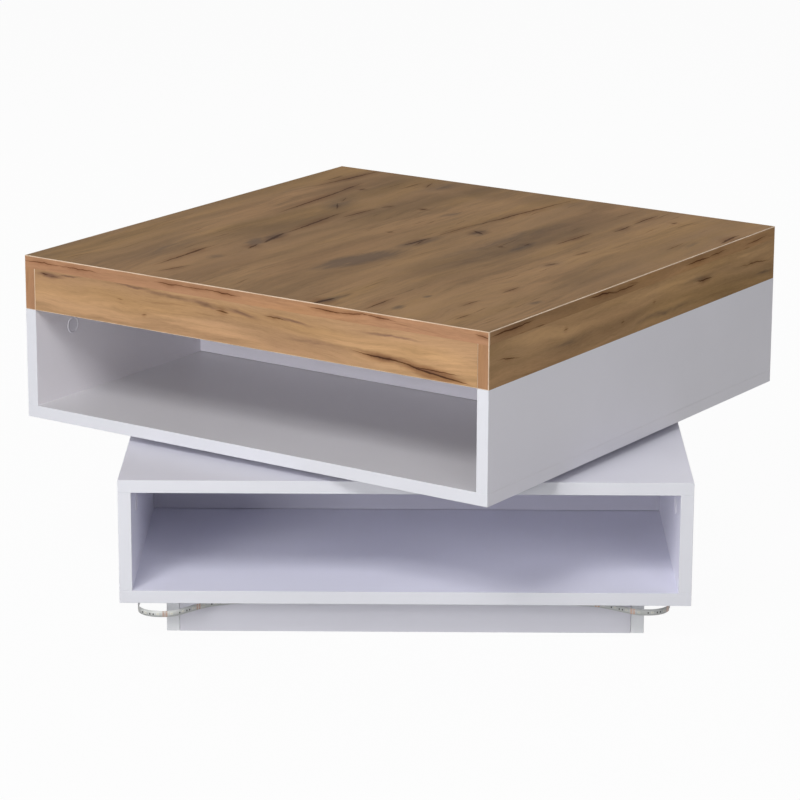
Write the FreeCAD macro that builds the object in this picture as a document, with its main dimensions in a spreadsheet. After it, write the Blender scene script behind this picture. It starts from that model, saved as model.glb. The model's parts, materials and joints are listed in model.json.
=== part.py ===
import FreeCAD
import Part
import Sketcher

import math
import os
import re

# Swivel coffee table: two square chipboard tiers on a recessed plinth. The lower tier is
# fixed; the upper one turns on a flat steel turntable. Millimetres and degrees, +Z up,
# origin on the floor on the swivel's axis, front of the lower tier towards -Y.

# Driving sizes: name, value, meaning.
SIZES = (
    ("tier_width", 700, "side of each square tier, edge bands included"),
    ("board", 16, "thickness of every laminated chipboard panel"),
    ("plinth_recess", 53.5, "side of a tier to the side of the plinth under it"),
    ("plinth_height", 54, "floor to the underside of the lower tier"),
    ("lower_clear", 125, "clear height of the lower compartments"),
    ("upper_wall", 126, "height of the white side walls of the upper tier"),
    ("apron_height", 54, "height of the wood-finish aprons under the top"),
    ("rest_angle", -33.8, "how far the upper tier stands turned"),
    ("white_band", 0.5, "thickness of the white edge bands"),
    ("wood_band", 1, "thickness of the wood-finish edge bands"),
    # cam fittings that pull a side wall against the panel above it
    ("fitting_front", 73, "front or back edge of a tier to its fittings"),
    ("cam_setback", 34, "end of the wall to the centre of its cam"),
    ("cam_diameter", 15, "cam housing"),
    ("cam_floor", 3.5, "chipboard left behind the cam's bore"),
    ("cam_slot", 8, "width of the cam's mouth for the bolt"),
    ("cam_fit", 0.15, "radial clearance of the cam in its bore"),
    ("cap_diameter", 21.5, "plastic cap that covers the cam"),
    ("cap_thickness", 1, "how far the cap stands proud"),
    ("bolt_bore", 8, "bore along the wall for the cam bolt"),
    ("bolt_diameter", 6, "shaft of the cam bolt"),
    ("bolt_head", 7, "head of the cam bolt, held by the cam"),
    ("bolt_head_height", 3, "height of that head"),
    ("bolt_cover", 5, "chipboard left above the threaded end of the bolt"),
    # assembly screws, driven upwards through the bottom panels
    ("screw_diameter", 7, "shank of the assembly screw"),
    ("screw_length", 50, "whole length of the assembly screw"),
    ("screw_head", 10, "diameter of its head, sunk into the panel"),
    ("screw_head_height", 3, "height of its head"),
    ("screw_fit", 0.2, "radial clearance of the screw in the bottom panel"),
    ("divider_screw", 200, "swivel axis to the screws under the divider"),
    # turntable
    ("swivel_gap", 9.5, "height of the turntable, the gap between the tiers"),
    ("plate_width", 300, "side of the turntable's square plates"),
    ("plate_corner", 12, "corners cut off the plates"),
    ("plate_thickness", 1.5, "sheet steel of the plates"),
    ("plate_hole", 5, "screw holes in the plates"),
    ("plate_hole_inset", 20, "edge of a plate to its screw holes"),
    ("collar_diameter", 40, "collar drawn up out of the lower plate, the pivot"),
    ("collar_wall", 1.2, "wall of the collar and of its rolled rim"),
    ("collar_rim", 54, "diameter of the rim rolled over the upper plate"),
    ("dish_depth", 2, "pressing in the upper plate that takes the rim"),
    ("dish_clearance", 2, "radial clearance of the rim in that pressing"),
    ("pivot_fit", 0.08, "radial clearance of the upper plate on the collar"),
    ("pivot_play", 0.1, "axial play of the upper plate under the rim"),
    ("roller_circle", 220, "diameter of the circle that the rollers run on"),
    ("roller_length", 10, "length of a roller"),
    ("roller_count", 8, "rollers in the cage"),
    ("roller_play", 0.05, "clearance of a roller to each plate"),
    ("cage_width", 18, "radial width of the roller cage"),
    ("cage_thickness", 3, "height of the roller cage"),
    ("pocket_fit", 0.15, "clearance round a roller in its pocket"),
    ("access_hole", 20, "screwdriver hole in the lower tier's top panel"),
    # small screws of the turntable and the angle brackets
    ("wood_screw", 3.5, "shank of a small screw"),
    ("wood_screw_length", 12, "length of a small screw under its head"),
    ("wood_screw_head", 7, "head of a small screw"),
    ("wood_screw_head_height", 2, "height of that head"),
    # angle brackets
    ("bracket_leg", 25, "length of both legs of an angle bracket"),
    ("bracket_width", 18, "width of an angle bracket"),
    ("bracket_thickness", 2, "sheet steel of the brackets"),
    ("apron_bracket_offset", 150, "swivel axis to the brackets of the side aprons"),
    # light strip stuck round the plinth
    ("strip_width", 8, "height of the flexible light strip"),
    ("strip_thickness", 1, "thickness of the strip"),
    ("strip_drop", 10, "underside of the lower tier to the strip"),
    ("strip_release", 65, "plinth corner to where the strip leaves the board"),
    ("strip_bulge_left", 33, "how far the strip stands off beside the left corners"),
    ("strip_bulge_right", 30, "how far the strip stands off beside the right corners"),
    ("strip_swing", 37, "how far it stands off in front of and behind the corners"),
    ("strip_lean", 16, "extra stand-off in front of the front left corner"),
    ("strip_shoulder", 11.5, "plinth corner to where the strip turns back to the board"),
    ("strip_bend", 28, "inside bend radius of the strip round a corner"),
    ("strip_ease", 90, "bend radius where the strip leaves a board"),
    ("strip_gap", 12, "gap between the ends of the strip, at the back"),
)
ALIASES = {name for name, value, meaning in SIZES}

# Levels and half widths that several pieces share.
HALF = "tier_width/2"
INNER = "(tier_width/2 - board)"
PLINTH_HALF = "(tier_width/2 - plinth_recess)"
FITTING = "(tier_width/2 - fitting_front)"
LOWER_TOP = "(board + lower_clear)"
WALL_TOP = "(board + upper_wall)"
APRON_TOP = "(board + upper_wall + apron_height)"
ROLLER = "(swivel_gap - 2*plate_thickness - 2*roller_play)"
CAM_BORE = "(board - cam_floor)"
CAM_DEPTH = "(board - cam_floor - cam_fit)"
BOLT_GRIP = "(board - bolt_cover)"

# Each group of pieces is modelled in a frame of its own: height above the floor, and turn.
SWIVEL_BASE = "plinth_height + 2*board + lower_clear"
FRAMES = {
    "plinth": ("0", "0"),
    "lower": ("plinth_height", "0"),
    "swivel": (SWIVEL_BASE, "0"),
    "swivel_upper": (SWIVEL_BASE, "rest_angle"),
    "upper": (SWIVEL_BASE + " + swivel_gap", "rest_angle"),
}

# The direction in which a fitting is driven turns its own +Z to that axis.
DRIVE = {
    "+Z": FreeCAD.Rotation(),
    "-Z": FreeCAD.Rotation(FreeCAD.Vector(1, 0, 0), 180),
    "+X": FreeCAD.Rotation(FreeCAD.Vector(0, 1, 0), 90),
    "-X": FreeCAD.Rotation(FreeCAD.Vector(0, 1, 0), -90),
    "+Y": FreeCAD.Rotation(FreeCAD.Vector(1, 0, 0), -90),
    "-Y": FreeCAD.Rotation(FreeCAD.Vector(1, 0, 0), 90),
}

# Small repeated fittings and their holes have flat sides, to keep the model light.
CAP_SIDES = 16
FITTING_SIDES = 8
SCREW_SIDES = 6

# Lengths closer than this count as equal.
TOLERANCE = 1e-6

# The most that a bend of the light strip takes of a run: round the corner, at its shoulders,
# and where the strip leaves a board.
CORNER_SHARE = 0.72
SHOULDER_SHARE = 0.27
RELEASE_SHARE = 0.7

doc = FreeCAD.newDocument("SwivelCoffeeTable")
sheet = doc.addObject("Spreadsheet::Sheet", "Sizes")
pieces = []


# ---------------------------------------------------------------- helpers

def fill_sheet():
    """Write the driving sizes: name, value under its alias, and meaning."""
    for row, (name, value, meaning) in enumerate(SIZES, 1):
        sheet.set(f"A{row}", name)
        sheet.set(f"B{row}", str(value))
        sheet.setAlias(f"B{row}", name)
        sheet.set(f"C{row}", meaning)
    doc.recompute()


def size(name):
    """The number that the sheet holds under a name."""
    return float(sheet.get(name))


def linked(formula):
    """A formula in the names of the sizes, as an expression on the sheet's cells."""
    return re.sub(
        r"[a-z_]+",
        lambda word: "Sizes." + word.group() if word.group() in ALIASES else word.group(),
        str(formula),
    )


def bind(item, path, formula):
    """Bind one property to a formula in the names of the sizes."""
    item.setExpression(path, linked(formula))


def place_in(item, frame):
    """Stand a finished piece in its frame."""
    height, turn = FRAMES[frame]
    bind(item, "Placement.Base.z", height)
    bind(item, "Placement.Rotation.Angle", turn)


def register(item, label, frame):
    """Name a finished piece, stand it in its frame and list it for export."""
    item.Label = label
    place_in(item, frame)
    pieces.append(item)
    return item


def new_body(label, frame, several=False):
    """An empty body for one piece, or for several identical loose ones."""
    body = doc.addObject("PartDesign::Body", label)
    body.AllowCompound = several
    return register(body, label, frame)


def new_sketch(body, role, name, level="0"):
    """A sketch on one of the body's own origin planes, moved along its normal."""
    sketch = body.newObject("Sketcher::SketchObject", name)
    plane = next(item for item in body.Origin.OriginFeatures if item.Role == role)
    sketch.AttachmentSupport = [(plane, "")]
    sketch.MapMode = "FlatFace"
    bind(sketch, "AttachmentOffset.Base.z", level)
    return sketch


def pin_point(sketch, geometry, point, u, v):
    """Hold one point of a sketch at u, v from the sketch's origin."""
    for kind, formula in (("DistanceX", u), ("DistanceY", v)):
        index = sketch.addConstraint(Sketcher.Constraint(kind, -1, 1, geometry, point, 1.0))
        name = f"{kind}_{index}"
        sketch.renameConstraint(index, name)
        bind(sketch, "Constraints." + name, formula)


def draw_polygon(sketch, points):
    """A closed outline through points given as pairs of formulas."""
    count = len(points)
    first = sketch.GeometryCount
    corners = [
        FreeCAD.Vector(math.cos(2 * math.pi * k / count), math.sin(2 * math.pi * k / count), 0)
        for k in range(count)
    ]
    for k in range(count):
        sketch.addGeometry(Part.LineSegment(corners[k], corners[(k + 1) % count]), False)
    for k in range(count):
        following = first + (k + 1) % count
        sketch.addConstraint(Sketcher.Constraint("Coincident", first + k, 2, following, 1))
    for k, (u, v) in enumerate(points):
        pin_point(sketch, first + k, 1, u, v)


def draw_rectangle(sketch, u, v):
    """A rectangle between the pairs of formulas u and v."""
    draw_polygon(sketch, [(u[0], v[0]), (u[1], v[0]), (u[1], v[1]), (u[0], v[1])])


def draw_circle(sketch, u, v, diameter):
    """A circle about u, v."""
    circle = Part.Circle(FreeCAD.Vector(1, 1, 0), FreeCAD.Vector(0, 0, 1), 1)
    index = sketch.addGeometry(circle, False)
    pin_point(sketch, index, 3, u, v)
    constraint = sketch.addConstraint(
        Sketcher.Constraint("Diameter", index, 2 * circle.Radius))
    name = f"Diameter_{constraint}"
    sketch.renameConstraint(constraint, name)
    bind(sketch, "Constraints." + name, diameter)


def draw_flat_sided_hole(sketch, u, v, diameter, sides):
    """The outline of a hole for a flat-sided shaft, its corners in line with the shaft's."""
    corners = [360 * k / sides for k in range(sides)]
    draw_polygon(sketch, [(f"{u} + cos({corner})*({diameter})/2",
                           f"{v} + sin({corner})*({diameter})/2") for corner in corners])


def add_pad(body, sketch, length, reverse=False):
    """Thicken a sketch into the body, along its normal unless reversed."""
    pad = body.newObject("PartDesign::Pad", "pad_" + sketch.Name)
    pad.Profile = sketch
    pad.Reversed = reverse
    bind(pad, "Length", length)
    body.Tip = pad
    return pad


def add_pocket(body, sketch, depth, along_normal=False):
    """Cut a sketch into the body to a depth, against its normal unless told otherwise."""
    doc.recompute()
    before = body.Shape.Volume
    pocket = body.newObject("PartDesign::Pocket", "pocket_" + sketch.Name)
    pocket.Profile = sketch
    pocket.Reversed = along_normal
    bind(pocket, "Length", depth)
    body.Tip = pocket
    doc.recompute()
    if body.Shape.Volume >= before:
        raise RuntimeError(f"{body.Label}: {sketch.Name} cuts nothing")
    return pocket


def add_revolution(body, sketch):
    """Turn a sketch on the XZ plane once round the body's vertical axis."""
    revolution = body.newObject("PartDesign::Revolution", "turn_" + sketch.Name)
    revolution.Profile = sketch
    revolution.ReferenceAxis = (sketch, ["V_Axis"])
    revolution.Angle = 360
    body.Tip = revolution
    return revolution


def repeat_round(body, feature, count):
    """Repeat a feature round the body's vertical axis."""
    axis = next(item for item in body.Origin.OriginFeatures if item.Role == "Z_Axis")
    pattern = body.newObject("PartDesign::PolarPattern", "round_" + feature.Name)
    pattern.Originals = [feature]
    pattern.Axis = (axis, [""])
    pattern.Angle = 360
    bind(pattern, "Occurrences", count)
    body.Tip = pattern
    return pattern


def new_board(label, frame, x, y, z):
    """A panel between pairs of formulas along each axis, ready to be drilled."""
    body = new_body(label, frame)
    outline = new_sketch(body, "XY_Plane", label + "_outline", z[0])
    draw_rectangle(outline, x, y)
    add_pad(body, outline, f"{z[1]} - ({z[0]})")
    return body


def new_slab(x, y, z):
    """A plain box between pairs of formulas, as a member of a group."""
    box = doc.addObject("Part::Box", "slab")
    for axis, prop, (low, high) in (("x", "Length", x), ("y", "Width", y), ("z", "Height", z)):
        bind(box, prop, f"{high} - ({low})")
        bind(box, "Placement.Base." + axis, low)
    return box


def new_group(label, frame, members):
    """Identical or like pieces that share one name, each still a solid of its own."""
    group = doc.addObject("Part::Compound", label)
    group.Links = members
    return register(group, label, frame)


def stand(item, at, drive):
    """Put a member of a group at a point, with its own +Z along the drive direction."""
    item.Placement = FreeCAD.Placement(FreeCAD.Vector(), DRIVE[drive])
    for axis, formula in zip("xyz", at):
        bind(item, "Placement.Base." + axis, formula)
    return item


def new_turned(steps, at, drive, sides=None):
    """A stepped shaft: steps of (start, length, diameter) along the drive direction."""
    parts = []
    for start, length, diameter in steps:
        if sides:
            part = doc.addObject("Part::Prism", "step")
            part.Polygon = sides
            bind(part, "Circumradius", f"({diameter})/2")
        else:
            part = doc.addObject("Part::Cylinder", "step")
            bind(part, "Radius", f"({diameter})/2")
        bind(part, "Height", length)
        bind(part, "Placement.Base.z", start)
        parts.append(part)
    if len(parts) == 1:
        joined = doc.addObject("Part::Compound", "shaft")
        joined.Links = parts
    else:
        joined = doc.addObject("Part::MultiFuse", "shaft")
        joined.Shapes = parts
    return stand(joined, at, drive)


# ---------------------------------------------------------------- fittings

def wood_screw(at, drive):
    """A small screw whose head sits on the surface that holds the point `at`."""
    return new_turned(
        [("-wood_screw_head_height", "wood_screw_head_height", "wood_screw_head"),
         ("0", "wood_screw_length", "wood_screw")],
        at, drive, SCREW_SIDES)


def assembly_screw(x, y):
    """A flush screw driven upwards from the underside of a bottom panel."""
    return new_turned(
        [("0", "screw_head_height", "screw_head"),
         ("screw_head_height", "screw_length - screw_head_height", "screw_diameter")],
        (x, y, "0"), "+Z", FITTING_SIDES)


def screw_points():
    """Where a carcass is screwed together from below: side walls, then divider."""
    points = [(f"{side}*({HALF} - board/2)", f"{end}*{FITTING}")
              for side in (-1, 1) for end in (-1, 1)]
    return points + [(f"{side}*divider_screw", "0") for side in (-1, 1)]


def drill_for_screws(body):
    """Clearance holes in a bottom panel; the screw heads sink themselves in."""
    shanks = new_sketch(body, "XY_Plane", "screw_holes", "board")
    for x, y in screw_points():
        draw_flat_sided_hole(shanks, x, y, "screw_diameter + 2*screw_fit", FITTING_SIDES)
    add_pocket(body, shanks, "board")


def drill_for_cams(body, side, wall_top):
    """Blind bores for two cams in a wall's inner face, and for the bolts in its top end."""
    housings = new_sketch(body, "YZ_Plane", "cam_bores", f"{side}*{INNER}")
    bolts = new_sketch(body, "XY_Plane", "bolt_bores", wall_top)
    for end in (-1, 1):
        draw_circle(housings, f"{end}*{FITTING}", f"{wall_top} - cam_setback",
                    "cam_diameter + 2*cam_fit")
        draw_flat_sided_hole(bolts, f"{side}*({HALF} - board/2)", f"{end}*{FITTING}",
                             "bolt_bore", FITTING_SIDES)
    add_pocket(body, housings, CAM_BORE, along_normal=side > 0)
    add_pocket(body, bolts, "cam_setback")


def cam(side, end, wall_top):
    """A cam housing with the mouth that swallows the head of its bolt."""
    centre = (f"{side}*({INNER} + {CAM_BORE})", f"{end}*{FITTING}", f"{wall_top} - cam_setback")
    housing = new_turned([("0", CAM_DEPTH, "cam_diameter")], centre,
                         "-X" if side > 0 else "+X", CAP_SIDES)
    middle = f"{side}*({HALF} - board/2)"
    mouth = new_slab(
        (f"{middle} - cam_slot/2", f"{middle} + cam_slot/2"),
        (f"{end}*{FITTING} - cam_slot/2", f"{end}*{FITTING} + cam_slot/2"),
        (f"{wall_top} - cam_setback - bolt_head/2 - cam_fit",
         f"{wall_top} - cam_setback + cam_diameter"))
    cut = doc.addObject("Part::Cut", "cam")
    cut.Base = housing
    cut.Tool = mouth
    return cut


def cam_cap(side, end, wall_top):
    """A flat cap pressed over a cam, on the wall's inner face."""
    return new_turned(
        [("0", "cap_thickness", "cap_diameter")],
        (f"{side}*{INNER}", f"{end}*{FITTING}", f"{wall_top} - cam_setback"),
        "-X" if side > 0 else "+X", CAP_SIDES)


def cam_bolt(side, end, wall_top):
    """A bolt screwed up into the panel above, its head hanging in the cam."""
    reach = "cam_setback + bolt_head/2"
    return new_turned(
        [(f"-{BOLT_GRIP}", f"{BOLT_GRIP} + {reach} - bolt_head_height", "bolt_diameter"),
         (f"{reach} - bolt_head_height", "bolt_head_height", "bolt_head")],
        (f"{side}*({HALF} - board/2)", f"{end}*{FITTING}", wall_top),
        "-Z", FITTING_SIDES)


def cam_fittings(tier, wall_top):
    """All cams, bolts and caps of one tier, front and back in both side walls."""
    for label, make in (("cams", cam), ("cam_bolts", cam_bolt), ("cam_caps", cam_cap)):
        members = [make(side, end, wall_top) for side in (-1, 1) for end in (-1, 1)]
        new_group(f"{tier}_{label}", tier, members)


def low_to_high(near, far, sign):
    """Two formulas as a low and high pair, where sign tells which way far lies."""
    return (near, far) if sign > 0 else (far, near)


def angle_bracket(x, y, ceiling, outward):
    """An L of sheet steel under a panel and against a board, with its two screws.

    x, y is the middle of the bracket's outer face at the board, ceiling the height of the
    panel's underside, and outward the axis that points from the bracket into the board.
    """
    away = -1 if outward[0] == "+" else 1
    along_x = outward[1] == "X"
    face, centre = (x, y) if along_x else (y, x)

    def in_plan(across_board, along_board):
        return (across_board, along_board) if along_x else (along_board, across_board)

    width = (f"{centre} - bracket_width/2", f"{centre} + bracket_width/2")
    leg = low_to_high(face, f"{face} + {away}*bracket_thickness", away)
    foot = low_to_high(face, f"{face} + {away}*bracket_leg", away)
    upright = new_slab(*in_plan(leg, width), (f"{ceiling} - bracket_leg", ceiling))
    plate = new_slab(*in_plan(foot, width), (f"{ceiling} - bracket_thickness", ceiling))
    angle = doc.addObject("Part::MultiFuse", "angle")
    angle.Shapes = [upright, plate]
    angle.Refine = True
    middle = "(bracket_leg + bracket_thickness)/2"
    at_board = (*in_plan(f"{face} + {away}*bracket_thickness", centre), f"{ceiling} - {middle}")
    at_panel = (*in_plan(f"{face} + {away}*{middle}", centre),
                f"{ceiling} - bracket_thickness")
    hole = [("-bracket_thickness", "3*bracket_thickness", "wood_screw + 2*screw_fit")]
    drills = doc.addObject("Part::Compound", "drills")
    drills.Links = [new_turned(hole, at_board, outward, SCREW_SIDES),
                    new_turned(hole, at_panel, "+Z", SCREW_SIDES)]
    bracket = doc.addObject("Part::Cut", "bracket")
    bracket.Base = angle
    bracket.Tool = drills
    return bracket, [wood_screw(at_board, outward), wood_screw(at_panel, "+Z")]


def brackets(name, frame, places):
    """A group of angle brackets and the group of their screws."""
    members, screws = [], []
    for place in places:
        bracket, pair = angle_bracket(*place)
        members.append(bracket)
        screws += pair
    new_group(f"{name}_brackets", frame, members)
    new_group(f"{name}_bracket_screws", frame, screws)


# ---------------------------------------------------------------- plinth

def build_plinth():
    """Four boards on edge: the side ones run through, front and back stand between."""
    half = PLINTH_HALF
    inner = f"({half} - board)"
    z = ("0", "plinth_height")
    through = (f"-({half} - white_band)", f"{half} - white_band")
    new_board("plinth_left_board", "plinth", (f"-{half}", f"-{inner}"), through, z)
    new_board("plinth_right_board", "plinth", (inner, half), through, z)
    between = (f"-{inner}", inner)
    new_board("plinth_front_board", "plinth", between, (f"-{half}", f"-{inner}"), z)
    new_board("plinth_back_board", "plinth", between, (inner, half), z)
    bands = []
    for x in ((f"-{half}", f"-{inner}"), (inner, half)):
        for y in ((f"-{half}", f"-({half} - white_band)"), (f"{half} - white_band", half)):
            bands.append(new_slab(x, y, z))
    new_group("plinth_edge_bands", "plinth", bands)
    brackets("plinth", "plinth", [
        (f"-{inner}", "0", "plinth_height", "-X"),
        (inner, "0", "plinth_height", "+X"),
        ("0", f"-{inner}", "plinth_height", "-Y"),
        ("0", inner, "plinth_height", "+Y"),
    ])


def rounded_route(corners):
    """A closed flat wire through corners, each one a point, its bend radius and its share.

    A bend takes at most its share of the shorter of its two runs, and is tighter where its
    radius would need more.
    """
    count = len(corners)
    edges = []
    ends = []
    for k, (point, radius, share) in enumerate(corners):
        back = corners[k - 1][0] - point
        ahead = corners[(k + 1) % count][0] - point
        room = share * min(back.Length, ahead.Length)
        back.normalize()
        ahead.normalize()
        turn = math.pi - back.getAngle(ahead)
        trim = min(radius * math.tan(turn / 2), room)
        bend = trim / math.tan(turn / 2)
        bisector = (back + ahead).normalize()
        centre = point + bisector * (bend / math.cos(turn / 2))
        ends.append((point + back * trim, centre - bisector * bend, point + ahead * trim))
    for k, (start, middle, end) in enumerate(ends):
        edges.append(Part.Arc(start, middle, end).toShape())
        following = ends[(k + 1) % count][0]
        if (following - end).Length > TOLERANCE:
            edges.append(Part.makeLine(end, following))
    return Part.Wire(edges)


def strip_outline(standoff):
    """The light strip's route in plan, standoff outside the plinth's faces.

    The strip lies on the boards and can't follow their sharp corners, so it leaves each
    board before the corner, swings out in a soft bulge and comes back to the next board.
    """
    plinth_half = size("tier_width") / 2 - size("plinth_recess")
    half = plinth_half + standoff
    release = plinth_half - size("strip_release")
    shoulder = plinth_half - size("strip_shoulder")
    bend = size("strip_bend") + standoff
    ease = size("strip_ease") - standoff
    corners = []
    for x_side, y_side in ((-1, -1), (1, -1), (1, 1), (-1, 1)):
        bulge = size("strip_bulge_left") if x_side < 0 else size("strip_bulge_right")
        lean = size("strip_lean") if (x_side, y_side) == (-1, -1) else 0
        out_x = half + bulge
        out_y = half + size("strip_swing") + lean
        corner = [
            (half, release, ease, RELEASE_SHARE),
            (out_x, plinth_half, bend, SHOULDER_SHARE),
            (out_x, out_y, bend, CORNER_SHARE),
            (shoulder, out_y, bend, SHOULDER_SHARE),
            (release, half, ease, RELEASE_SHARE),
        ]
        if x_side * y_side < 0:
            corner.reverse()
        for x, y, radius, share in corner:
            corners.append((FreeCAD.Vector(x_side * x, y_side * y, 0), radius, share))
    return rounded_route(corners)


def build_light_strip():
    """A flexible strip round the plinth, just under the lower tier, open at the back."""
    faces = [Part.Face(strip_outline(standoff)) for standoff in (0, size("strip_thickness"))]
    level = size("plinth_height") - size("strip_drop") - size("strip_width")
    ring = faces[1].cut(faces[0]).extrude(FreeCAD.Vector(0, 0, size("strip_width")))
    gap = size("strip_gap")
    depth = 3 * size("strip_thickness")
    back = size("tier_width") / 2 - size("plinth_recess") + size("strip_thickness") / 2
    slot = Part.makeBox(gap, depth, size("strip_width"),
                        FreeCAD.Vector(-gap / 2, back - depth / 2, 0))
    strip = doc.addObject("Part::Feature", "light_strip")
    strip.Shape = ring.cut(slot)
    strip.Label = "light_strip"
    strip.Placement = FreeCAD.Placement(FreeCAD.Vector(0, 0, level), FreeCAD.Rotation())
    pieces.append(strip)


# ---------------------------------------------------------------- tiers

def ring_of_bands(half, band, z):
    """Four bands round a square panel: front and back run the full width."""
    core = f"({half} - {band})"
    across = (f"-{half}", half)
    between = (f"-{core}", core)
    low = (f"-{half}", f"-{core}")
    high = (core, half)
    return [new_slab(across, low, z), new_slab(across, high, z),
            new_slab(low, between, z), new_slab(high, between, z)]


def end_bands(band, z):
    """Bands on the front and back ends of the two side boards of a tier."""
    bands = []
    for x in ((f"-{HALF}", f"-{INNER}"), (INNER, HALF)):
        for y in ((f"-{HALF}", f"-({HALF} - {band})"), (f"{HALF} - {band}", HALF)):
            bands.append(new_slab(x, y, z))
    return bands


def square_panel(label, tier, band, z):
    """A panel as wide as its tier, less the bands on its four edges."""
    core = f"({HALF} - {band})"
    return new_board(label, tier, (f"-{core}", core), (f"-{core}", core), z)


def build_carcass(tier, wall_top, divider_top):
    """Bottom panel, two side walls and the divider that parts front from back."""
    bottom = square_panel(f"{tier}_bottom_panel", tier, "white_band", ("0", "board"))
    drill_for_screws(bottom)
    through = (f"-({HALF} - white_band)", f"{HALF} - white_band")
    for side, name, x in ((-1, "left", (f"-{HALF}", f"-{INNER}")), (1, "right", (INNER, HALF))):
        wall = new_board(f"{tier}_{name}_wall", tier, x, through, ("board", wall_top))
        drill_for_cams(wall, side, wall_top)
    new_board(f"{tier}_divider", tier, (f"-{INNER}", INNER), ("-board/2", "board/2"),
              ("board", divider_top))
    cam_fittings(tier, wall_top)
    new_group(f"{tier}_assembly_screws", tier, [assembly_screw(x, y) for x, y in screw_points()])
    bands = ring_of_bands(HALF, "white_band", ("0", "board"))
    return bands + end_bands("white_band", ("board", wall_top))


def build_lower_tier():
    """The fixed tier: a carcass under a full-width top panel that carries the swivel."""
    bands = build_carcass("lower", LOWER_TOP, LOWER_TOP)
    z = (LOWER_TOP, f"({LOWER_TOP} + board)")
    top = square_panel("lower_top_panel", "lower", "white_band", z)
    access = new_sketch(top, "XY_Plane", "access_hole", z[1])
    hole_radius = "(plate_width/2 - plate_hole_inset)"
    draw_circle(access, "0", f"{hole_radius}*sqrt(2)", "access_hole")
    add_pocket(top, access, "board")
    new_group("lower_edge_bands", "lower", bands + ring_of_bands(HALF, "white_band", z))


def build_upper_tier():
    """The turning tier: a carcass, four wood-finish aprons and the wood-finish top."""
    bands = build_carcass("upper", WALL_TOP, APRON_TOP)
    new_group("upper_edge_bands", "upper", bands)
    z = (WALL_TOP, APRON_TOP)
    through = (f"-({HALF} - wood_band)", f"{HALF} - wood_band")
    new_board("apron_left", "upper", (f"-{HALF}", f"-{INNER}"), through, z)
    new_board("apron_right", "upper", (INNER, HALF), through, z)
    between = (f"-{INNER}", INNER)
    front = (f"-{HALF}", f"-{INNER}")
    back = (INNER, HALF)
    above_band = (f"({WALL_TOP} + wood_band)", APRON_TOP)
    new_board("apron_front", "upper", between, front, above_band)
    new_board("apron_back", "upper", between, back, above_band)
    under = (WALL_TOP, above_band[0])
    apron_bands = end_bands("wood_band", z)
    apron_bands += [new_slab(between, front, under), new_slab(between, back, under)]
    new_group("apron_edge_bands", "upper", apron_bands)
    top = (APRON_TOP, f"({APRON_TOP} + board)")
    square_panel("top_panel", "upper", "wood_band", top)
    new_group("top_edge_bands", "upper", ring_of_bands(HALF, "wood_band", top))
    places = [("0", f"-{INNER}", APRON_TOP, "-Y"), ("0", INNER, APRON_TOP, "+Y")]
    for end in (-1, 1):
        offset = f"{end}*apron_bracket_offset"
        places.append((f"-{INNER}", offset, APRON_TOP, "-X"))
        places.append((INNER, offset, APRON_TOP, "+X"))
    brackets("apron", "upper", places)


# ---------------------------------------------------------------- swivel

def plate_hole_points():
    """The four screw holes of a turntable plate."""
    reach = "(plate_width/2 - plate_hole_inset)"
    return [(f"{side}*{reach}", f"{end}*{reach}") for side in (-1, 1) for end in (-1, 1)]


def pressed_plate(label, frame, seat, reverse, centre_hole):
    """A square plate with a round centre hole, screw holes and cut-off corners.

    seat is the height of the face that meets the board.
    """
    body = new_body(label, frame)
    outline = new_sketch(body, "XY_Plane", label + "_outline", seat)
    half = "plate_width/2"
    draw_rectangle(outline, (f"-{half}", half), (f"-{half}", half))
    draw_circle(outline, "0", "0", centre_hole)
    for x, y in plate_hole_points():
        draw_circle(outline, x, y, "plate_hole")
    plate = add_pad(body, outline, "plate_thickness", reverse)
    doc.recompute()
    corners = [f"Edge{number}" for number, edge in enumerate(plate.Shape.Edges, 1)
               if is_corner(edge)]
    chamfer = body.newObject("PartDesign::Chamfer", label + "_corners")
    chamfer.Base = (plate, corners)
    bind(chamfer, "Size", "plate_corner")
    body.Tip = chamfer
    return body


def is_corner(edge):
    """True for an upright edge at an outer corner of a turntable plate."""
    middle = edge.CenterOfMass
    return min(abs(middle.x), abs(middle.y)) > size("plate_width") / 2 - TOLERANCE


def build_swivel():
    """Turntable: the lower plate's collar is the pivot and is rolled over the upper plate."""
    collar = "collar_diameter/2"
    bore = f"({collar} - collar_wall)"
    rim = "collar_rim/2"
    lower = pressed_plate("swivel_lower_plate", "swivel", "0", False, "collar_diameter")
    section = new_sketch(lower, "XZ_Plane", "collar_section")
    seat = "(swivel_gap - dish_depth + pivot_play)"
    draw_polygon(section, [
        (bore, "0"), (collar, "0"), (collar, seat), (rim, seat),
        (rim, f"{seat} + collar_wall"), (bore, f"{seat} + collar_wall")])
    add_revolution(lower, section)
    dish_rim = "(collar_rim/2 + dish_clearance + dish_depth)"
    upper = pressed_plate("swivel_upper_plate", "swivel_upper", "swivel_gap", True,
                          f"2*{dish_rim}")
    dish = new_sketch(upper, "XZ_Plane", "dish_section")
    shoulder = f"({dish_rim} - dish_depth)"
    hole = f"({collar} + pivot_fit)"
    deep = "swivel_gap - dish_depth"
    draw_polygon(dish, [
        (dish_rim, "swivel_gap"), (shoulder, deep), (hole, deep),
        (hole, f"{deep} - plate_thickness"), (shoulder, f"{deep} - plate_thickness"),
        (dish_rim, "swivel_gap - plate_thickness")])
    add_revolution(upper, dish)
    build_rollers()
    screws = [wood_screw((x, y, "plate_thickness"), "-Z") for x, y in plate_hole_points()]
    new_group("swivel_lower_screws", "swivel", screws)
    under = "swivel_gap - plate_thickness"
    screws = [wood_screw((x, y, under), "+Z") for x, y in plate_hole_points()]
    new_group("swivel_upper_screws", "swivel_upper", screws)


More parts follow.
